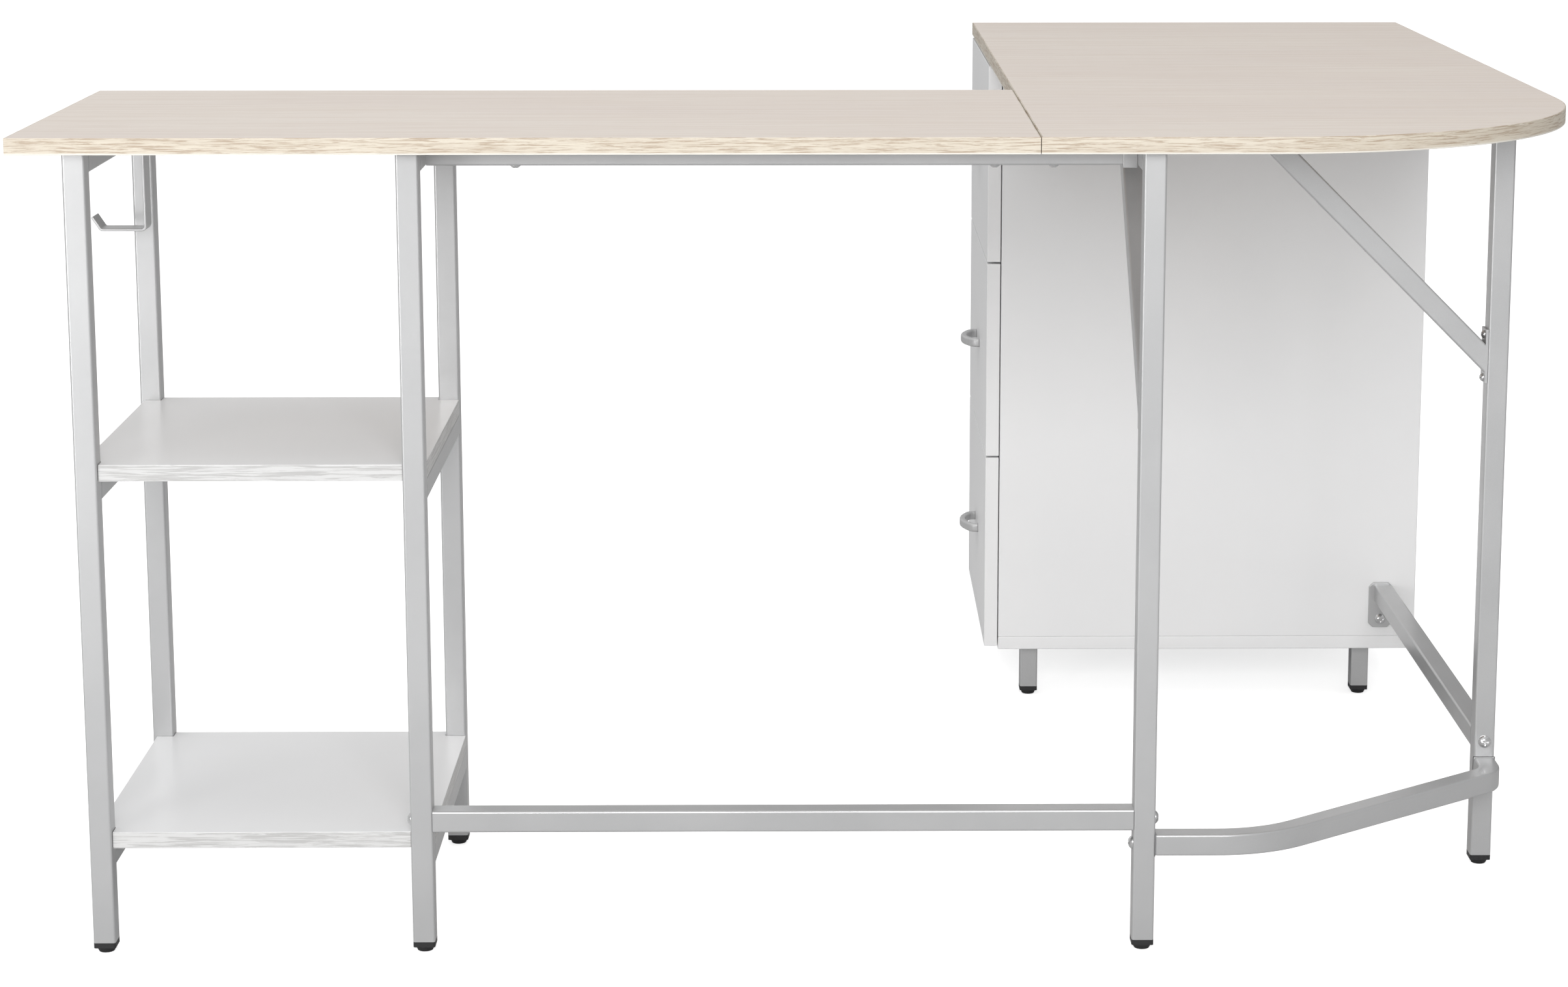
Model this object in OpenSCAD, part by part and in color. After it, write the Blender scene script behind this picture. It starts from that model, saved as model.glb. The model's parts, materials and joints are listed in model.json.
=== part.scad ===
// L-shaped desk: two laminate tops on a square-tube frame, a two-shelf end unit,
// a curved foot rail and a three-drawer cabinet. Millimetres, +Z up.
// The origin is on the floor, under the middle of the tops. -Y is the outer side.

/* [Tops] */
// Height of the upper face of the tops above the floor
desk_h = 750; // [700:1:780]
// Length of the side top, along X
side_top_w = 900; // [800:1:1000]
// Depth of the side top, along Y
side_top_d = 400; // [385:1:450]
// Width of the main top, along X
main_top_w = 520; // [500:1:600]
// Depth of the main top, along Y
main_top_d = 1200; // [1180:1:1400]
// Radius of the main top's rounded outer corner
corner_r = 315; // [150:1:330]
// Thickness of the tops
top_t = 15; // [15:1:25]
// Thickness of the glued edge band round each top
band_t = 1; // [0.5:0.1:2]
// Gap at the seam between the two tops
seam_gap = 0.6; // [0.2:0.1:2]

/* [Frame] */
// Outer width of the square steel tube
tube = 20; // [20:0.5:22]
// Wall thickness of the tube
tube_wall = 1.2; // [1:0.1:1.5]
// Outer corner radius of the tube
tube_r = 2; // [1.6:0.1:3]
// From the tops' outer edge to the legs' outer face
leg_setback = 20; // [10:1:30]
// From the side top's end to the outer end frame
end_inset = 45; // [20:1:60]
// Distance between the two end frames, same face to same face
bay_w = 291; // [250:1:320]
// Depth of the end frames, leg face to leg face
end_frame_d = 320; // [300:1:340]
// From the seam between the tops to the corner leg
corner_leg_offset = 92; // [70:1:110]
// From the main top's side edge to the side leg
side_leg_inset = 52; // [45:1:70]
// From the tops' outer edge to the side leg's outer face
side_leg_setback = 251; // [240:1:260]
// From the legs' outer face to the long top rail
top_rail_setback = 63; // [40:1:80]
// Underside of the long bottom rail
bottom_rail_z = 114; // [114:1:130]
// Underside of the curved foot rail
foot_rail_z = 90; // [80:1:94]
// Underside of the depth rail
depth_rail_z = 116; // [116:1:130]

/* [Shelves] */
// Thickness of the shelves
shelf_t = 15; // [15:1:18]
// Depth of the shelves
shelf_d = 310; // [305:1:315]
// Underside of the upper shelf
upper_shelf_z = 440; // [400:1:500]
// Underside of the lower shelf
lower_shelf_z = 99; // [90:1:110]

/* [Braces] */
// Height at which a brace's centre line meets its leg
brace_z = 507; // [490:1:530]
// Thickness of a brace's end plates
plate_t = 2.5; // [2:0.5:3]

/* [Curved foot rail] */
// Turn of the gentle first bend, in degrees
foot_turn = 37; // [35:1:39]
// Centre-line radius of the first bend
foot_r1 = 125; // [80:1:150]
// Centre-line radius of the second bend, beside the side leg
foot_r2 = 30; // [25:1:35]
// From the corner leg to the point where the first two straights would meet
foot_corner_x = 100.4; // [95:0.1:105]

/* [Cabinet] */
// Width of the cabinet, along Y
cabinet_w = 360; // [340:1:380]
// From the main top's inner edge to the cabinet's far side
cabinet_inset = 14; // [5:1:20]
// From the main top's side edge to the cabinet's back
cabinet_side_inset = 25; // [15:1:40]
// Height of the cabinet's bottom board above the floor
cabinet_z = 60; // [50:1:80]
// Thickness of the cabinet's boards
board_t = 15; // [12:1:16]
// From the cabinet's sides to the centres of its legs
cabinet_leg_inset = 30; // [20:1:60]
// From the drawer faces to the centres of the front cabinet legs
cabinet_leg_front = 53; // [45:1:80]
// From the cabinet's back to the centres of the rear cabinet legs
cabinet_leg_back = 58; // [20:1:80]

/* [Drawers] */
// Underside of the bottom drawer front above the floor
drawer_front_z = 64; // [62:1:70]
// Gap between drawer fronts
drawer_gap = 2; // [1.5:0.5:3]
// Height of a drawer box
drawer_box_h = 150; // [100:1:160]
// Length of a drawer box behind its front
drawer_box_l = 450; // [446:1:452]
// Thickness of a drawer's side and back boards
drawer_side_t = 12; // [10:1:15]
// Thickness of a drawer's bottom
drawer_bottom_t = 4; // [3:0.5:5]
// Distance between a drawer pull's two screws
handle_span = 64; // [56:1:128]
// From a drawer front's top edge to the middle of its pull
handle_drop = 117; // [60:1:130]

/* [Hook] */
// Width of the hook's flat strip
hook_w = 25; // [20:1:30]
// Thickness of the hook's strip
hook_t = 2.5; // [2:0.5:3]
// Drop of the hook below the tops
hook_drop = 106; // [80:1:120]
// Length of the hook's level arm
hook_arm = 44; // [36:1:48]
// From the legs' outer face to the hook
hook_setback = 249; // [30:1:270]

/* [Hidden] */
$fn = 48;
eps = 0.01;
past = 1;
clear = 0.3;
bend_steps = 10;

// Tops
desk_w = side_top_w + main_top_w;
x_left = -desk_w / 2;
x_right = desk_w / 2;
x_seam = x_left + side_top_w;
y_out = -main_top_d / 2;
y_in = main_top_d / 2;
top_z = desk_h - top_t;

// Frame
half = tube / 2;
leg_y = y_out + leg_setback;
end_rear_y = leg_y + end_frame_d - tube;
outer_x = x_left + end_inset;
inner_x = outer_x + bay_w;
corner_x = x_seam + corner_leg_offset;
side_x = x_right - side_leg_inset - tube;
side_y = y_out + side_leg_setback;
rail_z = top_z - tube;
long_rail_y = leg_y + top_rail_setback;
tube_inner_r = 1.2;
arm_l = 240;
shelf_inset = 4;

// Feet: rim, taper and the plug inside the tube
cap_h = 10;
cap_taper_h = 5;
cap_base_r = 7;
cap_step = 0.5;
cap_plug_h = 18;
cap_plug_r = 1;
cap_fit = 0.2;

// Braces: plate reach beyond the centre line and screw places, away from and towards the corner
plate_reach = [24, 28];
plate_screw = [20, 22];
brace_rise = rail_z - plate_t - brace_z;

// Fasteners as [head diameter, head height, shank diameter, shank length]
bolt = [12.5, 3.5, 6, 36];
panel_screw = [10, 3, 4.5, 30];
brace_screw = [8, 2.6, 4, 10];
flange_screw = [12, 3.5, 4.5, 14];
handle_screw = [8, 2.2, 4, board_t + 4];

// Pan heads: cross recess, its reach and depth and the dome's sink as shares of the head
recess_w = 1.2;
recess_reach = 0.55;
recess_depth = 0.6;
dome_sink = 1.15;

// Clearance holes: wider than the shank, from before its start to past its tip
hole_play = 0.4;
hole_lead = 1;
hole_past = 0.5;

// Cabinet
cab_near = y_in - cabinet_inset - cabinet_w;
cab_far = cab_near + cabinet_w;
front_clear = 1;
cab_front = x_seam + board_t + front_clear;
cab_back = x_right - cabinet_side_inset;
cab_floor = cabinet_z + board_t;

// Drawers
LEVELS = ["bottom", "middle", "top"];
front_top_gap = 2.5;
front_pitch = (top_z - front_top_gap + drawer_gap - drawer_front_z) / len(LEVELS);
front_h = front_pitch - drawer_gap;
box_lift = 20;
box_x = x_seam + board_t;
runner_gap = 12.5;
box_near = cab_near + board_t + runner_gap;
box_far = cab_far - board_t - runner_gap;
groove = 5;
bottom_lift = 10;
handle_mid_y = (cab_near + cab_far) / 2;

// Two-section runner: channel on the cabinet, slimmer channel on the drawer
runner_l = 440;
runner_setback = 5;
runner_x = box_x + runner_setback;
steel_t = 1.2;
outer_channel = [45, 9.5];
inner_channel = [30, 9.5];

// Drawer pull: an arched bow. Each end leaves the front square, bends over and meets the bow
handle_t = 7;
handle_h = 10;
handle_foot = 1.5;
handle_bend = 65;
handle_bend_r = 9;
handle_bow = 180 - 2 * handle_bend;
handle_bow_r = 50;
handle_slant = (handle_span / 2 - handle_bow_r * sin(handle_bow / 2)
    - handle_bend_r * (1 - cos(handle_bend))) / sin(handle_bend);

// Flange between the depth rail and the cabinet, nearer to the cabinet's middle than the rail
flange = [27, 53, 3];
flange_chamfer = 5;
flange_shift = 3;
flange_drop = 30;
flange_z = depth_rail_z - flange_drop;
flange_screw_rise = 10;

// Sleeve that holds the long top rail's end to the corner frame
sleeve_l = 13;
sleeve_t = 2.2;

// Hook
hook_bend_r = 3.5;
hook_tip = 13;
hook_lean = 33;

// Middle of each leg
FRAME_LEGS = [
    [outer_x + half, leg_y + half],
    [outer_x + half, end_rear_y + half],
    [inner_x + half, leg_y + half],
    [inner_x + half, end_rear_y + half],
    [corner_x + half, leg_y + half],
    [side_x + half, side_y + half]
];
CABINET_LEGS = [
    for (x = [x_seam + cabinet_leg_front, cab_back - cabinet_leg_back])
    for (y = [cab_near + cabinet_leg_inset, cab_far - cabinet_leg_inset]) [x, y]
];

// Screw distances: from the seam on the long top rail, from the leg's outer face on the others
rail_screw_x = [-465, -35, 18];
end_screw_y = [50, 260];
shelf_screw_y = [80, 240];
corner_arm_screw_y = [50, 180];
side_arm_screw_x = [58, 178];

// Undersides of the panel screws' heads: up through a rail into a top or a shelf
TOP_SCREWS = concat(
    [for (x = rail_screw_x) [x_seam + x, long_rail_y + half, rail_z]],
    [for (x = [outer_x, inner_x]) for (y = end_screw_y) [x + half, leg_y + y, rail_z]],
    [for (y = corner_arm_screw_y) [corner_x + half, leg_y + y, rail_z]],
    [for (x = side_arm_screw_x) [side_x + tube - x, side_y + half, rail_z]]
);
SHELF_SCREWS = [
    for (z = [lower_shelf_z - tube, upper_shelf_z - tube])
    for (x = [outer_x + half, inner_x + half])
    for (y = shelf_screw_y) [x, leg_y + y, z]
];

// Frame bolts as [place under the head, direction of the shank as a rotation]
TO_PLUS_X = [0, 90, 0];
TO_MINUS_X = [0, -90, 0];
TO_PLUS_Y = [-90, 0, 0];
TO_MINUS_Y = [90, 0, 0];
BOLTS = [
    [[inner_x, leg_y + half, bottom_rail_z + half], TO_PLUS_X],
    [[corner_x + tube, leg_y + half, bottom_rail_z + half], TO_MINUS_X],
    [[corner_x, leg_y + half, foot_rail_z + half], TO_PLUS_X],
    [[side_x + half, side_y + tube, foot_rail_z + half], TO_MINUS_Y],
    [[side_x + half, side_y, depth_rail_z + half], TO_PLUS_Y]
];
FLANGE_SCREW_AT = [side_x + half - flange_shift, cab_near - flange[2], flange_z + flange_screw_rise];

FRAME_NODES = [
    "side_top_panel", "side_top_edge_band", "main_top_panel", "main_top_edge_band",
    "upper_shelf", "lower_shelf",
    "outer_front_leg", "outer_rear_leg", "outer_top_rail", "outer_middle_rail", "outer_bottom_rail",
    "inner_front_leg", "inner_rear_leg", "inner_top_rail", "inner_middle_rail", "inner_bottom_rail",
    "long_top_rail", "rail_end_sleeve", "long_bottom_rail",
    "corner_leg", "corner_top_arm", "corner_brace",
    "side_leg", "side_top_arm", "side_brace",
    "curved_foot_rail", "depth_rail", "depth_rail_flange", "hook",
    "cabinet_near_side", "cabinet_far_side", "cabinet_back", "cabinet_bottom", "cabinet_legs",
    "cabinet_runner_channels", "leg_caps", "panel_screws", "frame_bolts", "brace_screws"
];
DRAWER_PIECES = ["front", "sides", "back", "bottom", "handle", "handle_screws", "runner_members"];

// ---------- shared shapes ----------

module rounded_square(size, r) {
    inset = size / 2 - r;
    square([size, 2 * inset], center = true);
    square([2 * inset, size], center = true);
    for (x = [-inset, inset], y = [-inset, inset]) translate([x, y]) circle(r);
}

module tube_section() {
    difference() {
        rounded_square(tube, tube_r);
        rounded_square(tube - 2 * tube_wall, tube_inner_r);
    }
}

// Tubes start at the lowest corner of their bounding box
module tube_z(l) { translate([half, half, 0]) linear_extrude(l) tube_section(); }
module tube_x(l) { translate([0, half, half]) rotate([90, 0, 90]) linear_extrude(l) tube_section(); }
module tube_y(l) { translate([half, 0, half]) rotate([-90, 0, 0]) linear_extrude(l) tube_section(); }

module steel() { color("silver") children(); }
module white_board() { color("whitesmoke") children(); }

// Pan-head screw: the head is below z = 0, the shank rises along +Z
module screw(s) {
    head_r = s[0] / 2;
    head_h = s[1];
    dome_r = (head_r * head_r + head_h * head_h) / (2 * head_h);
    color("gainsboro") {
        difference() {
            intersection() {
                translate([0, 0, -head_h]) cylinder(r = head_r, h = head_h);
                translate([0, 0, dome_r - head_h * dome_sink]) sphere(dome_r);
            }
            for (turn = [0, 90]) rotate([0, 0, turn])
                translate([-head_r * recess_reach, -recess_w / 2, -head_h - past])
                    cube([2 * head_r * recess_reach, recess_w, past + head_h * recess_depth]);
        }
        cylinder(d = s[2], h = s[3]);
    }
}

// One side of a bent strip, off to the left of its middle line. Each leg of the strip is
// [length, turn at its end, bend radius]; p is where it starts, a its first direction
function strip_side(legs, off, p, a) =
    len(legs) == 0 ? [] :
    let (
        left = [-sin(a), cos(a)],
        turn = legs[0][1],
        bend = sign(turn) * legs[0][2],
        q = p + legs[0][0] * [cos(a), sin(a)],
        centre = q + bend * left,
        steps = turn == 0 ? [] : [1:bend_steps - 1],
        next_legs = [for (i = [1:1:len(legs) - 1]) legs[i]],
        next_a = a + turn,
        next_p = centre - bend * [-sin(next_a), cos(next_a)]
    )
    concat(
        [p + off * left, q + off * left],
        [for (i = steps) let (b = a + turn * i / bend_steps) centre + (off - bend) * [-sin(b), cos(b)]],
        strip_side(next_legs, off, next_p, next_a)
    );

function reversed(points) = [for (i = [len(points) - 1:-1:0]) points[i]];

function strip_outline(legs, t, p, a) =
    concat(strip_side(legs, t / 2, p, a), reversed(strip_side(legs, -t / 2, p, a)));

// Clearance hole for a screw's shank
module shank_hole(s) {
    translate([0, 0, -hole_lead]) cylinder(d = s[2] + hole_play, h = hole_lead + s[3] + hole_past);
}

module panel_screw_holes() {
    for (p = concat(TOP_SCREWS, SHELF_SCREWS)) translate(p) shank_hole(panel_screw);
}

module bolt_holes() {
    for (b = BOLTS) translate(b[0]) rotate(b[1]) shank_hole(bolt);
}

// A brace's frame: x runs from the leg's face along the arm, z is up from the floor
module at_corner_leg() { translate([corner_x + half, leg_y + tube, 0]) rotate([0, 0, 90]) children(); }
module at_side_leg() { translate([side_x, side_y + half, 0]) rotate([0, 0, 180]) children(); }

module brace_screw_places() {
    for (z = [brace_z - plate_screw[0], brace_z + plate_screw[1]])
        translate([plate_t, 0, z]) rotate(TO_MINUS_X) children();
    for (x = [plate_t + brace_rise - plate_screw[1], plate_t + brace_rise + plate_screw[0]])
        translate([x, 0, rail_z - plate_t]) children();
}

module brace_screw_holes() {
    at_corner_leg() brace_screw_places() shank_hole(brace_screw);
    at_side_leg() brace_screw_places() shank_hole(brace_screw);
}

// ---------- tops and shelves ----------

module side_top_outline(inset) {
    translate([x_left + inset, y_out + inset])
        square([side_top_w - seam_gap / 2 - 2 * inset, side_top_d - 2 * inset]);
}

module main_top_outline(inset) {
    w = main_top_w - seam_gap / 2 - 2 * inset;
    d = main_top_d - 2 * inset;
    r = corner_r - inset;
    translate([x_seam + seam_gap / 2 + inset, y_out + inset]) difference() {
        square([w, d]);
        translate([w - r, -past]) difference() {
            square(r + past);
            translate([0, r + past]) circle(r, $fn = 160);
        }
    }
}

module side_top_panel() {
    color("antiquewhite") difference() {
        translate([0, 0, top_z]) linear_extrude(top_t) side_top_outline(band_t);
        panel_screw_holes();
    }
}

module side_top_edge_band() {
    color("wheat") translate([0, 0, top_z]) linear_extrude(top_t) difference() {
        side_top_outline(0);
        side_top_outline(band_t);
    }
}

module main_top_panel() {
    color("antiquewhite") difference() {
        translate([0, 0, top_z]) linear_extrude(top_t) main_top_outline(band_t);
        panel_screw_holes();
    }
}

module main_top_edge_band() {
    color("wheat") translate([0, 0, top_z]) linear_extrude(top_t) difference() {
        main_top_outline(0);
        main_top_outline(band_t);
    }
}

// A shelf lies on its two rails, with a notch round each leg
module shelf(z) {
    shelf_x = outer_x + shelf_inset;
    shelf_y = leg_y + shelf_inset;
    notch = tube + 2 * clear;
    white_board() difference() {
        translate([shelf_x, shelf_y, z]) cube([inner_x + tube - shelf_x, shelf_d, shelf_t]);
        for (x = [outer_x, inner_x], y = [leg_y, end_rear_y])
            translate([x - clear, y - clear, z - past]) cube([notch, notch, shelf_t + 2 * past]);
        panel_screw_holes();
    }
}

// ---------- frame ----------

module frame_leg(x, y) {
    steel() difference() {
        translate([x, y, cap_h]) tube_z(top_z - cap_h);
        bolt_holes();
        brace_screw_holes();
    }
}

module end_rail(x, z) {
    steel() difference() {
        translate([x, leg_y + tube, z]) tube_y(end_frame_d - 2 * tube);
        panel_screw_holes();
    }
}

module long_top_rail() {
    start = inner_x + tube;
    steel() difference() {
        translate([start, long_rail_y, rail_z]) tube_x(corner_x - start);
        panel_screw_holes();
    }
}

// U-shaped saddle round the rail's end: floor and two cheeks
module rail_end_sleeve() {
    steel() translate([corner_x - sleeve_l, long_rail_y, rail_z]) difference() {
        translate([0, -sleeve_t, -sleeve_t]) cube([sleeve_l, tube + 2 * sleeve_t, tube + sleeve_t]);
        translate([-past, 0, 0]) cube([sleeve_l + 2 * past, tube, tube + past]);
    }
}

module long_bottom_rail() {
    start = inner_x + tube;
    steel() translate([start, leg_y, bottom_rail_z]) tube_x(corner_x - start);
}

module corner_top_arm() {
    steel() difference() {
        translate([corner_x, leg_y + tube, rail_z]) tube_y(arm_l);
        panel_screw_holes();
        brace_screw_holes();
    }
}

module side_top_arm() {
    steel() difference() {
        translate([side_x - arm_l, side_y, rail_z]) tube_x(arm_l);
        panel_screw_holes();
        brace_screw_holes();
    }
}

module brace() {
    reach = brace_rise * 2;
    plate_l = plate_reach[0] + plate_reach[1];
    steel() difference() {
        union() {
            intersection() {
                translate([plate_t, 0, brace_z]) rotate([0, 45, 0])
                    translate([-half, -half, -tube * 2]) tube_z(reach);
                translate([plate_t, -tube, brace_z - reach]) cube([reach, 2 * tube, reach + brace_rise]);
            }
            translate([0, -half, brace_z - plate_reach[0]]) cube([plate_t, tube, plate_l]);
            translate([plate_t + brace_rise - plate_reach[1], -half, rail_z - plate_t])
                cube([plate_l, tube, plate_t]);
        }
        brace_screw_places() shank_hole(brace_screw);
    }
}

module corner_brace() { at_corner_leg() brace(); }
module side_brace() { at_side_leg() brace(); }

// One level tube: straight, gentle bend, slanted straight, tight bend, straight into the side leg
module curved_foot_rail() {
    rest_turn = 90 - foot_turn;
    tangent_1 = foot_r1 * tan(foot_turn / 2);
    tangent_2 = foot_r2 * tan(rest_turn / 2);
    slant_dx = side_x + half - (corner_x + tube + foot_corner_x);
    slant_dy = slant_dx * tan(foot_turn);
    legs = [
        [foot_corner_x - tangent_1, foot_turn, foot_r1],
        [slant_dx / cos(foot_turn) - tangent_1 - tangent_2, rest_turn, foot_r2],
        [side_y - leg_y - half - slant_dy - tangent_2, 0, 0]
    ];
    start = [corner_x + tube, leg_y + half];
    steel() translate([0, 0, foot_rail_z]) difference() {
        linear_extrude(tube) polygon(strip_outline(legs, tube, start, 0));
        translate([0, 0, tube_wall]) linear_extrude(tube - 2 * tube_wall)
            polygon(strip_outline(legs, tube - 2 * tube_wall, start, 0));
    }
}

module depth_rail() {
    start = side_y + tube;
    steel() translate([side_x, start, depth_rail_z]) tube_y(cab_near - flange[2] - start);
}

module depth_rail_flange() {
    w = flange[0];
    h = flange[1];
    c = flange_chamfer;
    steel() difference() {
        translate([side_x + half - flange_shift - w / 2, cab_near, flange_z]) rotate([90, 0, 0])
            linear_extrude(flange[2])
                polygon([[c, 0], [w - c, 0], [w, c], [w, h - c], [w - c, h], [c, h], [0, h - c], [0, c]]);
        translate(FLANGE_SCREW_AT) rotate(TO_PLUS_Y) shank_hole(flange_screw);
    }
}

// From the top rail's inner face down, out under the rail, then up at a lean
module hook() {
    drop = hook_drop - hook_bend_r - hook_t / 2;
    level = hook_arm - 2 * hook_bend_r;
    legs = [[drop, -90, hook_bend_r], [level, hook_lean - 90, hook_bend_r], [hook_tip, 0, 0]];
    steel() translate([outer_x + tube + hook_t / 2, leg_y + hook_setback + hook_w, top_z])
        rotate([90, 0, 0]) linear_extrude(hook_w) polygon(strip_outline(legs, hook_t, [0, 0], -90));
}

module leg_cap() {
    color("black") {
        translate([0, 0, cap_taper_h]) linear_extrude(cap_h - cap_taper_h) rounded_square(tube, tube_r);
        cylinder(r1 = cap_base_r, r2 = half - cap_step, h = cap_taper_h + eps);
        translate([0, 0, cap_h - eps]) linear_extrude(cap_plug_h)
            rounded_square(tube - 2 * tube_wall - 2 * cap_fit, cap_plug_r);
    }
}

module leg_caps() { for (p = concat(FRAME_LEGS, CABINET_LEGS)) translate(p) leg_cap(); }

module panel_screws() { for (p = concat(TOP_SCREWS, SHELF_SCREWS)) translate(p) screw(panel_screw); }

module frame_bolts() {
    for (b = BOLTS) translate(b[0]) rotate(b[1]) screw(bolt);
    translate(FLANGE_SCREW_AT) rotate(TO_PLUS_Y) screw(flange_screw);
}

module brace_screws() {
    at_corner_leg() brace_screw_places() screw(brace_screw);
    at_side_leg() brace_screw_places() screw(brace_screw);
}

// ---------- cabinet ----------

module cabinet_side(y) {
    white_board() difference() {
        translate([cab_front, y, cab_floor]) cube([cab_back - cab_front, board_t, top_z - cab_floor]);
        translate(FLANGE_SCREW_AT) rotate(TO_PLUS_Y) shank_hole(flange_screw);
    }
}

module cabinet_back() {
    white_board() translate([cab_back - board_t, cab_near + board_t, cab_floor])
        cube([board_t, cabinet_w - 2 * board_t, top_z - cab_floor]);
}

module cabinet_bottom() {
    white_board() translate([cab_front, cab_near, cabinet_z])
        cube([cab_back - cab_front, cabinet_w, board_t]);
}

module cabinet_legs() {
    steel() for (p = CABINET_LEGS) translate([p[0] - half, p[1] - half, cap_h]) tube_z(cabinet_z - cap_h);
}

// C channel of the given height and depth, open towards +y, its web at y = 0
module channel(size, l) {
    h = size[0];
    translate([0, 0, -h / 2]) difference() {
        cube([l, size[1], h]);
        translate([-past, steel_t, steel_t]) cube([l + 2 * past, size[1], h - 2 * steel_t]);
    }
}

module runner_pair(near_y, far_y, size, z) {
    color("lightgray") {
        translate([runner_x, near_y, z]) channel(size, runner_l);
        translate([runner_x, far_y, z]) mirror([0, 1, 0]) channel(size, runner_l);
    }
}

function box_z(level) = drawer_front_z + level * front_pitch + box_lift;
function runner_z(level) = box_z(level) + drawer_box_h / 2;

module cabinet_runner_channels() {
    for (level = [0:len(LEVELS) - 1])
        runner_pair(cab_near + board_t, cab_far - board_t, outer_channel, runner_z(level));
}

// ---------- drawers ----------

function handle_z(level) = drawer_front_z + level * front_pitch + front_h - handle_drop;

// Undersides of the pull screws' heads, on the front's inner face
module handle_screw_places(level) {
    for (side = [-1, 1])
        translate([box_x, handle_mid_y + side * handle_span / 2, handle_z(level)])
            rotate(TO_MINUS_X) children();
}

module drawer_front(level) {
    white_board() difference() {
        translate([x_seam, cab_near, drawer_front_z + level * front_pitch])
            cube([board_t, cabinet_w, front_h]);
        handle_screw_places(level) shank_hole(handle_screw);
    }
}

module drawer_sides(level) {
    groove_inset = drawer_side_t - groove;
    white_board() difference() {
        for (y = [box_near, box_far - drawer_side_t])
            translate([box_x, y, box_z(level)]) cube([drawer_box_l, drawer_side_t, drawer_box_h]);
        translate([box_x - past, box_near + groove_inset, box_z(level) + bottom_lift])
            cube([drawer_box_l + 2 * past, box_far - box_near - 2 * groove_inset, drawer_bottom_t]);
    }
}

module drawer_back(level) {
    lift = bottom_lift + drawer_bottom_t;
    back_x = box_x + drawer_box_l - drawer_side_t;
    white_board() translate([back_x, box_near + drawer_side_t, box_z(level) + lift])
        cube([drawer_side_t, box_far - box_near - 2 * drawer_side_t, drawer_box_h - lift]);
}

module drawer_bottom(level) {
    inset = drawer_side_t - groove + clear;
    white_board() translate([box_x, box_near + inset, box_z(level) + bottom_lift])
        cube([drawer_box_l, box_far - box_near - 2 * inset, drawer_bottom_t]);
}

// Seen from above, the strip runs out from the drawer front, over and back to it
module drawer_handle(level) {
    legs = [
        [handle_foot, -handle_bend, handle_bend_r],
        [handle_slant, -handle_bow, handle_bow_r],
        [handle_slant, -handle_bend, handle_bend_r],
        [handle_foot, 0, 0]
    ];
    start = [x_seam, handle_mid_y - handle_span / 2];
    color("darkgray") difference() {
        translate([0, 0, handle_z(level) - handle_h / 2]) linear_extrude(handle_h)
            polygon(strip_outline(legs, handle_t, start, 180));
        handle_screw_places(level) shank_hole(handle_screw);
    }
}

module drawer_handle_screws(level) { handle_screw_places(level) screw(handle_screw); }

// The drawer's channel faces the cabinet's, so it opens outwards
module drawer_runner_members(level) {
    runner_pair(box_far, box_near, inner_channel, runner_z(level));
}

// ---------- nodes ----------

side_top_panel();
side_top_edge_band();
main_top_panel();
main_top_edge_band();
shelf(upper_shelf_z);  // upper_shelf
shelf(lower_shelf_z);  // lower_shelf
frame_leg(outer_x, leg_y);  // outer_front_leg
frame_leg(outer_x, end_rear_y);  // outer_rear_leg
end_rail(outer_x, rail_z);  // outer_top_rail
end_rail(outer_x, upper_shelf_z - tube);  // outer_middle_rail
end_rail(outer_x, lower_shelf_z - tube);  // outer_bottom_rail
frame_leg(inner_x, leg_y);  // inner_front_leg
frame_leg(inner_x, end_rear_y);  // inner_rear_leg
end_rail(inner_x, rail_z);  // inner_top_rail
end_rail(inner_x, upper_shelf_z - tube);  // inner_middle_rail
end_rail(inner_x, lower_shelf_z - tube);  // inner_bottom_rail
long_top_rail();
rail_end_sleeve();
long_bottom_rail();
frame_leg(corner_x, leg_y);  // corner_leg
corner_top_arm();
corner_brace();
frame_leg(side_x, side_y);  // side_leg
side_top_arm();
side_brace();
curved_foot_rail();
depth_rail();
depth_rail_flange();
hook();
cabinet_side(cab_near);  // cabinet_near_side
cabinet_side(cab_far - board_t);  // cabinet_far_side
cabinet_back();
cabinet_bottom();
cabinet_legs();
cabinet_runner_channels();
leg_caps();
panel_screws();
frame_bolts();
brace_screws();
for (i = [0:len(LEVELS) - 1]) {
    prefix = str("drawer_", LEVELS[i], "_");
    drawer_front(i);
    drawer_sides(i);
    drawer_back(i);
    drawer_bottom(i);
    drawer_handle(i);
    drawer_handle_screws(i);
    drawer_runner_members(i);
}
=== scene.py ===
"""Looks for the L-shaped desk: laminate, edge bands, powder-coated tube, pulls and screws.

Sizes are in metres in the part's own frame: +Z up, -Y the outer side, origin on the floor.
Colours are linear RGB.
"""

import json
import math

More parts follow.
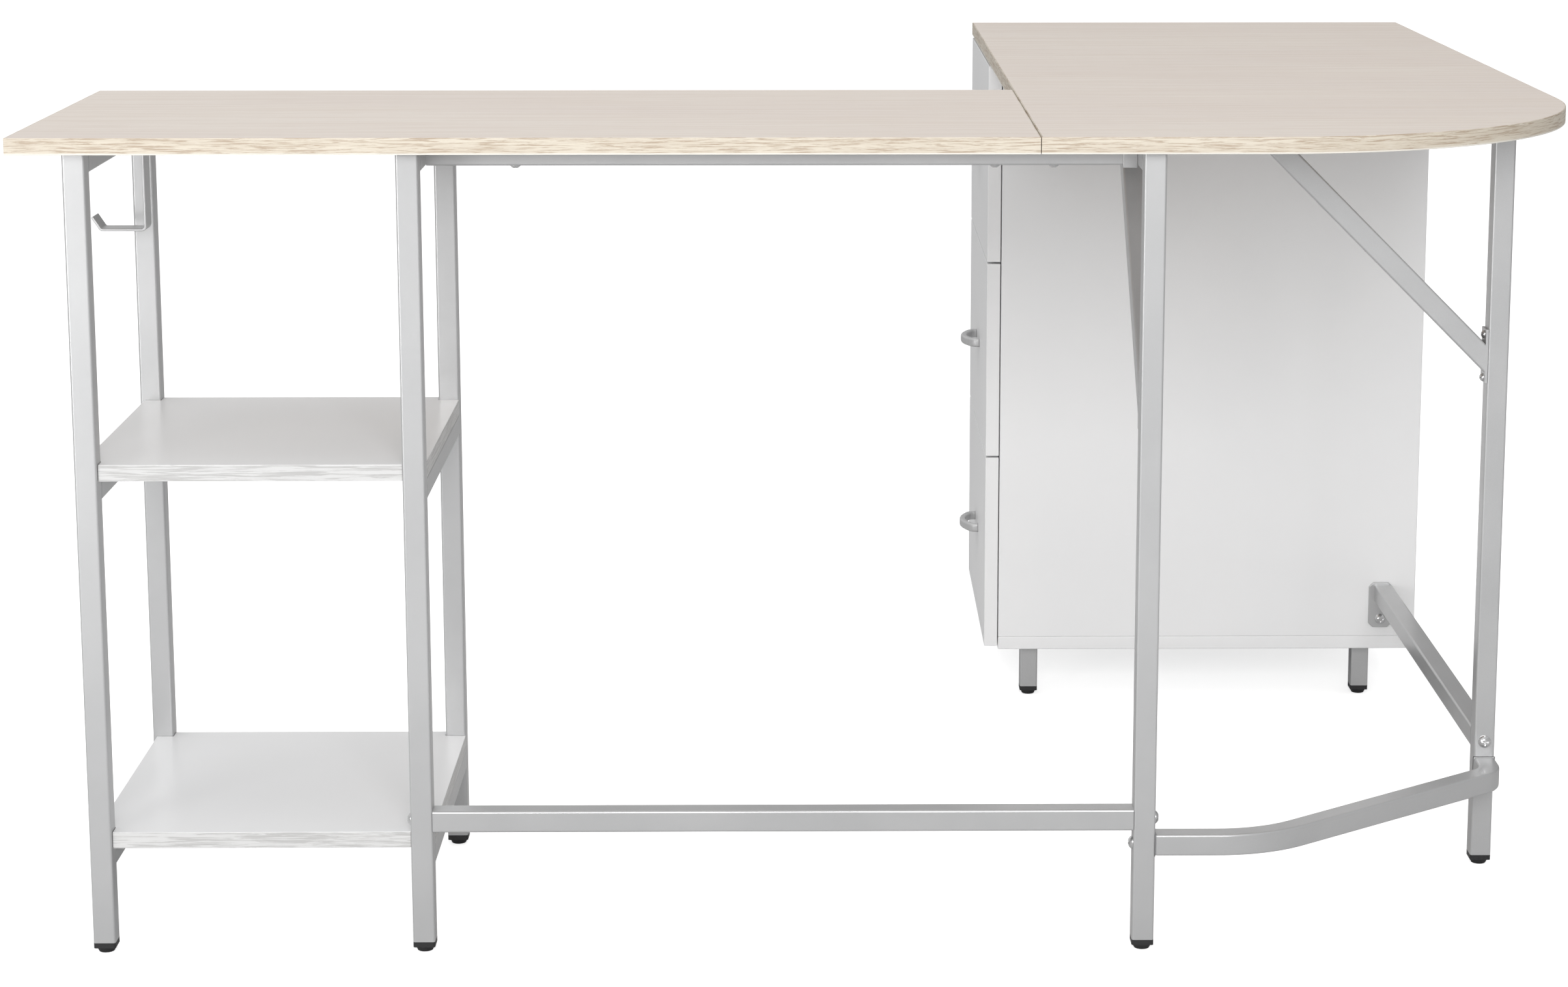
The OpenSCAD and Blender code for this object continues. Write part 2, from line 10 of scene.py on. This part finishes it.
import bpy
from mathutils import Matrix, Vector

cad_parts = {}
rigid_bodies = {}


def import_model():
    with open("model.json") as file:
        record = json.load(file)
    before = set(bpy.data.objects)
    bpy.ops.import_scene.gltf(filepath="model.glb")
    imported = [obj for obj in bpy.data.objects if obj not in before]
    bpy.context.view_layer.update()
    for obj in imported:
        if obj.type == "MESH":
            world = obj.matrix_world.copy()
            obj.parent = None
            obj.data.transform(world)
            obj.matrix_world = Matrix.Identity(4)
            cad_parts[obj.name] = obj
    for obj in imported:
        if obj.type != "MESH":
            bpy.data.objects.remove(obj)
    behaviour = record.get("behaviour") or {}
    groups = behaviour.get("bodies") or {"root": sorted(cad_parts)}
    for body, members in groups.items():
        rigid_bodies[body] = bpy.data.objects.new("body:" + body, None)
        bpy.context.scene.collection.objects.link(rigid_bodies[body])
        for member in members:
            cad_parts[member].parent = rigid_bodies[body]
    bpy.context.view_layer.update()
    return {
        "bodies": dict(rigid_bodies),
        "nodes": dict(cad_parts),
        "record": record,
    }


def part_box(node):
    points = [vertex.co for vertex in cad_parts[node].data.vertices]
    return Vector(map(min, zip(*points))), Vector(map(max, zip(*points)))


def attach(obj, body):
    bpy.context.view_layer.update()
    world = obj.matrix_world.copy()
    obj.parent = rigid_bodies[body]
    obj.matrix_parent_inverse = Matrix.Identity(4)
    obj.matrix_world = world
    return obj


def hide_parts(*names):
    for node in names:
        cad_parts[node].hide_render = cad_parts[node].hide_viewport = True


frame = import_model()
NODES = frame["nodes"]
DRAWERS = [body for body in frame["bodies"] if body.startswith("drawer_")]

MM = 0.001
WHITE = (1.0, 1.0, 1.0)


def add_object(name, data):
    """A new object in the scene with the given mesh, light or camera."""
    obj = bpy.data.objects.new(name, data)
    bpy.context.scene.collection.objects.link(obj)
    return obj


# ---------- node trees ----------

class Nodes:
    """Short calls that add and link the nodes of one tree."""

    def __init__(self, tree):
        self.tree = tree

    def add(self, kind, **settings):
        node = self.tree.nodes.new(kind)
        for key, value in settings.items():
            setattr(node, key, value)
        return node

    def feed(self, socket, value):
        """Links another node's output to the socket, or sets a constant or an RGB colour on it."""
        if isinstance(value, bpy.types.NodeSocket):
            self.tree.links.new(value, socket)
        else:
            is_colour = socket.type == "RGBA"
            socket.default_value = (*value, 1.0) if is_colour else value

    def component(self, vector, axis):
        parts = self.add("ShaderNodeSeparateXYZ")
        self.feed(parts.inputs["Vector"], vector)
        return parts.outputs[axis]

    def ramp(self, value, low, high, at_low=0.0, at_high=1.0, interpolation="LINEAR"):
        """Takes value from low..high to at_low..at_high, and holds it at those beyond the limits."""
        node = self.add("ShaderNodeMapRange", interpolation_type=interpolation)
        self.feed(node.inputs["Value"], value)
        limits = {"From Min": low, "From Max": high, "To Min": at_low, "To Max": at_high}
        for name, number in limits.items():
            self.feed(node.inputs[name], number)
        return node.outputs["Result"]

    def mix(self, share, a, b, data_type="RGBA"):
        """a turns into b as share goes from 0 to 1. They are colours, or numbers with data_type FLOAT."""
        node = self.add("ShaderNodeMix", data_type=data_type)
        self.feed(node.inputs["Factor"], share)
        self.feed(node.inputs["A"], a)
        self.feed(node.inputs["B"], b)
        return node.outputs["Result"]

    def by_ray(self, seen, lit):
        """The shader seen for rays from the camera, and the shader lit for all other rays."""
        pick = self.add("ShaderNodeMixShader")
        self.feed(pick.inputs["Fac"], self.add("ShaderNodeLightPath").outputs["Is Camera Ray"])
        self.feed(pick.inputs[1], lit)
        self.feed(pick.inputs[2], seen)
        return pick.outputs["Shader"]


class Finish(Nodes):
    """A material that a finish function builds up in front of its Principled shader."""

    def __init__(self, name):
        self.material = bpy.data.materials.new(name)
        self.material.use_nodes = True
        super().__init__(self.material.node_tree)
        self.shader = self.tree.nodes["Principled BSDF"]
        self.point = self.add("ShaderNodeTexCoord").outputs["Object"]

    def noise(self, features, detail, roughness=0.55, warp=0.0):
        """Noise from 0 to 1, with so many features to a metre: one number, or one for each axis."""
        stretch = self.add("ShaderNodeMapping")
        self.feed(stretch.inputs["Vector"], self.point)
        self.feed(stretch.inputs["Scale"], features if isinstance(features, tuple) else (features,) * 3)
        node = self.add("ShaderNodeTexNoise")
        self.feed(node.inputs["Vector"], stretch.outputs["Vector"])
        settings = {"Scale": 1.0, "Detail": detail, "Roughness": roughness, "Distortion": warp}
        for name, number in settings.items():
            self.feed(node.inputs[name], number)
        return node.outputs["Fac"]

    def spread(self, value, low, high, at_low=0.0, at_high=1.0):
        """A ramp with soft ends."""
        return self.ramp(value, low, high, at_low, at_high, interpolation="SMOOTHSTEP")

    def facing(self, axis):
        """How squarely the surface faces along one axis, either way, from 0 to 1."""
        normal = self.add("ShaderNodeNewGeometry").outputs["Normal"]
        size = self.add("ShaderNodeMath", operation="ABSOLUTE")
        self.feed(size.inputs[0], self.component(normal, axis))
        return size.outputs["Value"]

    def bump(self, height, depth):
        """Relief of the given depth in metres."""
        node = self.add("ShaderNodeBump")
        self.feed(node.inputs["Strength"], 1.0)
        self.feed(node.inputs["Distance"], depth)
        self.feed(node.inputs["Height"], height)
        self.feed(self.shader.inputs["Normal"], node.outputs["Normal"])

    def done(self, colour, roughness, **constants):
        """Feeds the shader and gives the material. The constants' names are its sockets' names."""
        self.feed(self.shader.inputs["Base Color"], colour)
        self.feed(self.shader.inputs["Roughness"], roughness)
        for name, value in constants.items():
            self.feed(self.shader.inputs[name.replace("_", " ")], value)
        return self.material


# ---------- finishes ----------

# Limits for spread() that suit a noise: the closer they are, the harder the edges of its patches.
# UPPER leaves a little more of the first colour than of the second.
WIDE = (0.2, 0.8)
MEDIUM = (0.3, 0.7)
CLOSE = (0.35, 0.65)
UPPER = (0.35, 0.7)


def maple_laminate():
    """Printed pale maple: fine grain along X, a slow drift in tone, embossed pores."""
    f = Finish("maple_laminate")
    drift = f.noise((2.2, 5.0, 5.0), detail=2.0)
    grain = f.noise((5.0, 190.0, 190.0), detail=5.0, warp=0.4)
    fibre = f.noise((26.0, 900.0, 900.0), detail=2.0)
    ground, pale_ground = (0.700, 0.628, 0.572), (0.722, 0.655, 0.592)
    grain_brown, pore_brown = (0.640, 0.560, 0.492), (0.570, 0.485, 0.415)
    colour = f.mix(f.spread(drift, *CLOSE), ground, pale_ground)
    colour = f.mix(f.spread(grain, 0.42, 0.66, at_high=0.60), colour, grain_brown)
    colour = f.mix(f.spread(fibre, 0.52, 0.72, at_high=0.45), colour, pore_brown)
    f.bump(fibre, 0.05 * MM)
    return f.done(colour, f.spread(grain, *MEDIUM, 0.40, 0.50), Specular_IOR_Level=0.42)


def maple_edge_band():
    """Cream band with brown streaks along its length. Its lowest millimetre is paler: a painted highlight
    of the floor's light on the band's bottom edge.
    """
    f = Finish("maple_edge_band")
    streak = f.noise((30.0, 30.0, 700.0), detail=5.0, roughness=0.68, warp=0.5)
    fleck = f.noise((80.0, 80.0, 1500.0), detail=3.0)
    patch = f.noise((7.0, 7.0, 160.0), detail=2.0)
    cream, pale_cream = (0.570, 0.508, 0.418), (0.620, 0.563, 0.470)
    streak_brown, fleck_cream = (0.385, 0.300, 0.220), (0.670, 0.625, 0.545)
    colour = f.mix(f.spread(patch, *CLOSE), cream, pale_cream)
    colour = f.mix(f.spread(streak, 0.47, 0.60, at_high=0.9), colour, streak_brown)
    colour = f.mix(f.spread(fleck, 0.56, 0.70, at_high=0.6), colour, fleck_cream)
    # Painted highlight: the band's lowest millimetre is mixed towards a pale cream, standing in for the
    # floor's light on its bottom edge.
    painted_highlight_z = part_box("main_top_edge_band")[0].z + 1.0 * MM
    painted_highlight_share = f.spread(f.component(f.point, "Z"), painted_highlight_z, painted_highlight_z + 0.8 * MM, at_low=0.85, at_high=0.0)
    colour = f.mix(painted_highlight_share, colour, (0.740, 0.715, 0.660))
    f.bump(streak, 0.08 * MM)
    return f.done(colour, f.spread(streak, *MEDIUM, 0.38, 0.5), Specular_IOR_Level=0.45)


def white_laminate():
    """Satin melamine: a faint drift in tone and a shallow orange peel."""
    f = Finish("white_laminate")
    cloud = f.noise(5.0, detail=3.0)
    peel = f.noise(260.0, detail=1.0)
    colour = f.mix(f.spread(cloud, *WIDE), (0.765, 0.767, 0.772), (0.790, 0.790, 0.792))
    f.bump(peel, 0.006 * MM)
    return f.done(colour, f.spread(cloud, *WIDE, 0.36, 0.42), Specular_IOR_Level=0.45)


def shelf_laminate():
    """The same melamine on the shelves, whose edge bands show a pale grey wood grain."""
    f = Finish("shelf_laminate")
    cloud = f.noise(4.0, detail=1.0)
    peel = f.noise(45.0, detail=1.0)
    streak = f.noise((22.0, 22.0, 700.0), detail=5.0, roughness=0.66, warp=0.5)
    face = f.mix(f.spread(cloud, *WIDE), (0.815, 0.817, 0.822), (0.840, 0.840, 0.842))
    band = f.mix(f.spread(streak, 0.46, 0.56), (0.600, 0.598, 0.594), (0.450, 0.446, 0.440))
    colour = f.mix(f.spread(f.facing("Z"), *MEDIUM), band, face)
    f.bump(peel, 0.004 * MM)
    return f.done(colour, f.spread(cloud, *WIDE, 0.30, 0.33), Specular_IOR_Level=0.5)


def drawer_board():
    """Matt white foil with a faint grain along X."""
    f = Finish("drawer_board")
    grain = f.noise((30.0, 300.0, 300.0), detail=4.0)
    colour = f.mix(f.spread(grain, *UPPER), (0.780, 0.782, 0.785), (0.725, 0.725, 0.728))
    f.bump(grain, 0.04 * MM)
    return f.done(colour, f.spread(grain, *MEDIUM, 0.50, 0.62), Specular_IOR_Level=0.35)


def drawer_hardboard():
    """Hardboard with a white printed face: short fibres in every direction."""
    f = Finish("drawer_hardboard")
    fibre = f.noise(240.0, detail=6.0, roughness=0.7, warp=1.2)
    colour = f.mix(f.spread(fibre, *UPPER), (0.760, 0.758, 0.750), (0.690, 0.686, 0.675))
    f.bump(fibre, 0.06 * MM)
    return f.done(colour, f.spread(fibre, *MEDIUM, 0.55, 0.7), Specular_IOR_Level=0.3)


def silver_tube():
    """Satin silver powder coat: metal flakes in a pale grey, with a slight orange peel."""
    f = Finish("silver_tube")
    flake = f.noise(2600.0, detail=1.0)
    cloud = f.noise(9.0, detail=3.0)
    peel = f.noise(420.0, detail=1.0)
    colour = f.mix(f.spread(cloud, *WIDE), (0.490, 0.493, 0.497), (0.535, 0.537, 0.540))
    colour = f.mix(f.spread(flake, 0.56, 0.75, at_high=0.35), colour, (0.660, 0.662, 0.665))
    f.bump(peel, 0.01 * MM)
    roughness = f.spread(flake, *MEDIUM, 0.34, 0.29)
    return f.done(colour, roughness, Metallic=0.62, Specular_IOR_Level=0.35)


def zinc_steel():
    """Zinc-plated sheet, brushed along the runner, with the plating's cloudy patches."""
    f = Finish("zinc_steel")
    brushed = f.noise((12.0, 1600.0, 1600.0), detail=3.0)
    cloud = f.noise(55.0, detail=4.0, warp=0.8)
    colour = f.mix(f.spread(cloud, *CLOSE), (0.56, 0.57, 0.59), (0.66, 0.66, 0.66))
    f.bump(brushed, 0.02 * MM)
    return f.done(colour, f.spread(brushed, *MEDIUM, 0.29, 0.42), Metallic=1.0)


def pull_metal():
    """Satin grey metal, brushed along the pull."""
    f = Finish("pull_metal")
    brushed = f.noise((1500.0, 14.0, 1500.0), detail=3.0)
    cloud = f.noise(40.0, detail=3.0)
    colour = f.mix(f.spread(cloud, *WIDE), (0.50, 0.50, 0.505), (0.56, 0.56, 0.56))
    colour = f.mix(f.spread(brushed, 0.45, 0.7, at_high=0.35), colour, (0.66, 0.66, 0.66))
    f.bump(brushed, 0.015 * MM)
    roughness = f.spread(brushed, *MEDIUM, 0.36, 0.46)
    return f.done(colour, roughness, Metallic=0.6, Specular_IOR_Level=0.5)


def plated_screw():
    """Bright nickel plate with fine scuffs."""
    f = Finish("plated_screw")
    scuff = f.noise(1400.0, detail=4.0, warp=0.6)
    colour = f.mix(f.spread(scuff, 0.4, 0.7), (0.74, 0.74, 0.745), (0.60, 0.60, 0.60))
    f.bump(scuff, 0.015 * MM)
    return f.done(colour, f.spread(scuff, *UPPER, 0.14, 0.26), Metallic=1.0)


def black_plastic():
    """Matt black with a fine moulded grain."""
    f = Finish("black_plastic")
    grain = f.noise(1500.0, detail=3.0)
    colour = f.mix(f.spread(grain, *UPPER), (0.012, 0.012, 0.013), (0.026, 0.026, 0.027))
    f.bump(grain, 0.05 * MM)
    return f.done(colour, f.spread(grain, *MEDIUM, 0.42, 0.58), Specular_IOR_Level=0.4)


def make_finishes():
    """The finish for each material slot of the record."""
    return {
        "maple_laminate": maple_laminate(), "maple_edge_band": maple_edge_band(),
        "white_laminate": white_laminate(), "drawer_board": drawer_board(),
        "drawer_hardboard": drawer_hardboard(), "silver_tube": silver_tube(),
        "zinc_steel": zinc_steel(), "pull_metal": pull_metal(),
        "plated_screw": plated_screw(), "black_plastic": black_plastic(),
    }


def finish_cad_nodes(finishes):
    """Gives each CAD node the finish of its slot. The shelves have a finish of their own."""
    shelf_finish = shelf_laminate()
    for part in frame["record"]["subparts"]:
        obj = NODES[part["node"]]
        finish = shelf_finish if part["node"].endswith("_shelf") else finishes[part["material_slot"]]
        obj.data.materials.clear()
        obj.data.materials.append(finish)


# ---------- edges ----------

# Edge roundings in millimetres, for boards, edge bands, and strips that the CAD extrudes from an outline.
EDGE_WIDTHS = {
    "side_top_edge_band": 0.45, "main_top_edge_band": 0.45, "upper_shelf": 0.5, "lower_shelf": 0.5,
    "cabinet_near_side": 1.2, "cabinet_far_side": 1.2, "cabinet_back": 0.5, "cabinet_bottom": 1.2,
    "curved_foot_rail": 2.0, "hook": 0.8, "depth_rail_flange": 0.8, "rail_end_sleeve": 0.7,
}
DRAWER_EDGE_WIDTHS = {"front": 0.7, "sides": 0.4, "back": 0.4}

WELD_DISTANCE = 0.002 * MM
COPLANAR_ANGLE = math.radians(0.6)
SHARP_ANGLE = math.radians(42)
BEVEL_SEGMENTS = 3
LARGE_FACE_WEIGHT = 100


def smooth_group():
    """Geometry nodes that drop the imported normals and shade every face smooth."""
    group = bpy.data.node_groups.new("smooth_faces", "GeometryNodeTree")
    for direction in ("INPUT", "OUTPUT"):
        group.interface.new_socket("Geometry", in_out=direction, socket_type="NodeSocketGeometry")
    nodes = Nodes(group)
    source = nodes.add("NodeGroupInput")
    drop = nodes.add("GeometryNodeRemoveAttribute")
    smooth = nodes.add("GeometryNodeSetShadeSmooth")
    result = nodes.add("NodeGroupOutput")
    nodes.feed(drop.inputs["Geometry"], source.outputs[0])
    nodes.feed(drop.inputs["Name"], "custom_normal")
    nodes.feed(smooth.inputs["Geometry"], drop.outputs["Geometry"])
    nodes.feed(result.inputs[0], smooth.outputs["Geometry"])
    return group


def soften(obj, width, group):
    """Rounds a CAD node's sharp edges with modifiers. Its own mesh stays as it is."""
    weld = obj.modifiers.new("weld", "WELD")
    weld.merge_threshold = WELD_DISTANCE
    flat = obj.modifiers.new("flat", "DECIMATE")
    flat.decimate_type = "DISSOLVE"
    flat.angle_limit = COPLANAR_ANGLE
    bevel = obj.modifiers.new("bevel", "BEVEL")
    bevel.width = width
    bevel.segments = BEVEL_SEGMENTS
    bevel.limit_method = "ANGLE"
    bevel.angle_limit = SHARP_ANGLE
    bevel.use_clamp_overlap = False
    smooth = obj.modifiers.new("smooth", "NODES")
    smooth.node_group = group
    normals = obj.modifiers.new("normals", "WEIGHTED_NORMAL")
    normals.weight = LARGE_FACE_WEIGHT
    normals.keep_sharp = False


def soften_edges():
    """Rounds the edges of the named nodes and of the same three pieces in each drawer."""
    group = smooth_group()
    widths = dict(EDGE_WIDTHS)
    for drawer in DRAWERS:
        widths.update({f"{drawer}_{piece}": width for piece, width in DRAWER_EDGE_WIDTHS.items()})
    for name, width in widths.items():
        soften(NODES[name], width * MM, group)


# ---------- drawer pulls ----------

# A pull from above: a foot, a bend, a straight slant, the bow, and the same back to the other foot.
PULL_THICK = 7 * MM
PULL_FOOT = 1.5 * MM
PULL_BEND = math.radians(65)
PULL_BEND_R = 9 * MM
PULL_BOW_R = 50 * MM
PULL_EDGE_R = 2.6 * MM
BEND_STEPS = 14
EDGE_STEPS = 6


def bent_path(stretches, x, y, heading):
    """Points (x, y, heading) along a bent bar. A stretch is (length, turn at its end, turn's radius)."""
    path = [(x, y, heading)]
    for length, turn, radius in stretches:
        x += length * math.cos(heading)
        y += length * math.sin(heading)
        path.append((x, y, heading))
        if turn:
            step = turn / BEND_STEPS
            chord = 2 * radius * math.sin(abs(step) / 2)
            for _ in range(BEND_STEPS):
                x += chord * math.cos(heading + step / 2)
                y += chord * math.sin(heading + step / 2)
                heading += step
                path.append((x, y, heading))
    return path


def rounded_section(width, height, radius):
    """Points round a rectangle with rounded corners, centred on zero."""
    points = []
    for quarter in range(4):
        sign_x = 1 if quarter in (0, 3) else -1
        sign_y = 1 if quarter in (0, 1) else -1
        for i in range(EDGE_STEPS + 1):
            angle = math.pi / 2 * (quarter + i / EDGE_STEPS)
            points.append((sign_x * (width / 2 - radius) + radius * math.cos(angle),
                           sign_y * (height / 2 - radius) + radius * math.sin(angle)))
    return points


def swept_mesh(name, path, z, section):
    """A level bar at height z: the section goes along the path, and flat faces close its two ends."""
    count = len(section)
    verts = [(x + a * math.sin(heading), y - a * math.cos(heading), z + b)
             for x, y, heading in path for a, b in section]
    faces = []
    for ring in range(len(path) - 1):
        near, far = ring * count, (ring + 1) * count
        for j in range(count):
            k = (j + 1) % count
            faces.append((near + j, far + j, far + k, near + k))
    faces.append(tuple(range(count)))
    faces.append(tuple(reversed(range(len(verts) - count, len(verts)))))
    mesh = bpy.data.meshes.new(name)
    mesh.from_pydata(verts, [], faces)
    mesh.polygons.foreach_set("use_smooth", [len(face.vertices) == 4 for face in mesh.polygons])
    return mesh


def add_pull(drawer, finish):
    """An arched bow with rounded edges, where the CAD has the same bow with square ones."""
    node = f"{drawer}_handle"
    low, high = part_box(node)
    reach = (high.y - low.y - PULL_THICK) / 2
    bow = math.pi - 2 * PULL_BEND
    bends = PULL_BOW_R * math.sin(bow / 2) + PULL_BEND_R * (1 - math.cos(PULL_BEND))
    slant = (reach - bends) / math.sin(PULL_BEND)
    stretches = [(PULL_FOOT, -PULL_BEND, PULL_BEND_R), (slant, -bow, PULL_BOW_R),
                 (slant, -PULL_BEND, PULL_BEND_R), (PULL_FOOT, 0, 0)]
    path = bent_path(stretches, high.x, (low.y + high.y) / 2 - reach, math.pi)
    section = rounded_section(PULL_THICK, high.z - low.z, PULL_EDGE_R)
    name = f"{drawer}_bow_pull"
    pull = add_object(name, swept_mesh(name, path, (low.z + high.z) / 2, section))
    pull.data.materials.append(finish)
    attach(pull, drawer)
    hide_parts(node)


# ---------- studio ----------

FLOOR_HALF = 30.0
FLOOR_GLOW = 0.66
FLOOR_GREY = (0.60, 0.60, 0.60)

# The cove in terms of a ray's direction: where the walls turn into the back wall and the dome begins,
# and over which width each part's light goes from its left level to its right one.
BACK_BEGINS = (0.1, 0.7)
DOME_BEGINS = (0.35, 0.75)
WALLS_ACROSS = (-0.9, 0.9)
BACK_ACROSS = (-0.3, 0.3)
DOME_ACROSS = (-0.6, 0.6)

# Fitted to the desk's corners as the photo shows them. The lens is in millimetres.
LENS = 75.8
LENS_SHIFT = (-0.0317, -0.10)
CAMERA_PLACE = (-0.0164, -3.450, 1.0861)
CAMERA_DOWN = math.radians(10.18)
CAMERA_TURN = math.radians(-0.52)


def add_floor():
    """A wide white floor. It shows white with soft shadows, and throws back less light than it seems to."""
    corners = [(x * FLOOR_HALF, y * FLOOR_HALF, 0) for x, y in ((-1, -1), (1, -1), (1, 1), (-1, 1))]
    mesh = bpy.data.meshes.new("floor")
    mesh.from_pydata(corners, [], [(0, 1, 2, 3)])
    floor = add_object("floor", mesh)
    f = Finish("floor")
    cloud = f.noise(0.7, detail=3.0)
    colour = f.mix(f.spread(cloud, *CLOSE), (0.780, 0.780, 0.780), (0.800, 0.800, 0.800))
    glow = {"Emission_Color": WHITE, "Emission_Strength": FLOOR_GLOW}
    mesh.materials.append(f.done(colour, roughness=0.9, Specular_IOR_Level=0.1, **glow))
    dim = f.add("ShaderNodeBsdfDiffuse")
    f.feed(dim.inputs["Color"], FLOOR_GREY)
    shader = f.by_ray(seen=f.shader.outputs["BSDF"], lit=dim.outputs["BSDF"])
    f.feed(f.tree.nodes["Material Output"].inputs["Surface"], shader)


def add_cove(walls, back, dome):
    """A white background to the camera and a grey room to every other ray.

    The side walls, the wall behind the desk and the dome over them each go from one level of light
    at the left to another at the right.
    """
    world = bpy.data.worlds.new("studio")
    bpy.context.scene.world = world
    world.use_nodes = True
    world.node_tree.nodes.clear()
    n = Nodes(world.node_tree)
    direction = n.add("ShaderNodeTexCoord").outputs["Generated"]
    across, depth, height = [n.component(direction, axis) for axis in "XYZ"]
    walls_level = n.ramp(across, *WALLS_ACROSS, *walls)
    back_level = n.ramp(across, *BACK_ACROSS, *back)
    dome_level = n.ramp(across, *DOME_ACROSS, *dome)
    around = n.mix(n.ramp(depth, *BACK_BEGINS), walls_level, back_level, data_type="FLOAT")
    level = n.mix(n.ramp(height, *DOME_BEGINS), around, dome_level, data_type="FLOAT")
    cove = n.add("ShaderNodeBackground")
    n.feed(cove.inputs["Color"], level)
    white = n.add("ShaderNodeBackground")
    n.feed(white.inputs["Color"], WHITE)
    shader = n.by_ray(seen=white.outputs["Background"], lit=cove.outputs["Background"])
    n.feed(n.add("ShaderNodeOutputWorld").inputs["Surface"], shader)


def add_softbox(name, place, aim, size, power):
    """A rectangular area light at place, turned towards aim. The camera doesn't see it."""
    data = bpy.data.lights.new(name, "AREA")
    data.shape = "RECTANGLE"
    data.size, data.size_y = size
    data.energy = power
    light = add_object(name, data)
    light.location = place
    light.rotation_euler = (Vector(aim) - Vector(place)).to_track_quat("-Z", "Y").to_euler()
    light.visible_camera = False


def add_studio():
    """Light from the left, the front and above, in a cove that gives less light at its right."""
    add_cove(walls=(0.58, 0.50), back=(0.72, 0.30), dome=(0.92, 0.60))
    add_softbox("key_softbox", place=(-1.9, -2.8, 0.65), aim=(-0.2, -0.4, 0.4), size=(0.9, 1.3), power=20)
    add_softbox("front_softbox", place=(0.1, -4.5, 1.95), aim=(0.3, 0.0, 0.3), size=(2.4, 1.5), power=112)
    add_softbox("top_softbox", place=(0.1, 0.0, 3.2), aim=(0.1, 0, 0.5), size=(3.0, 2.6), power=20)


def add_camera():
    """The photo's viewpoint, in front of the outer long side and a little above the tops."""
    data = bpy.data.cameras.new("camera")
    data.lens = LENS
    data.shift_x, data.shift_y = LENS_SHIFT
    camera = add_object("camera", data)
    camera.location = CAMERA_PLACE
    camera.rotation_euler = (math.pi / 2 - CAMERA_DOWN, 0, CAMERA_TURN)
    bpy.context.scene.camera = camera


add_camera()
finishes = make_finishes()
finish_cad_nodes(finishes)
soften_edges()
for drawer in DRAWERS:
    add_pull(drawer, finishes["pull_metal"])
add_floor()
add_studio()
bpy.context.scene.view_settings.view_transform = "Standard"
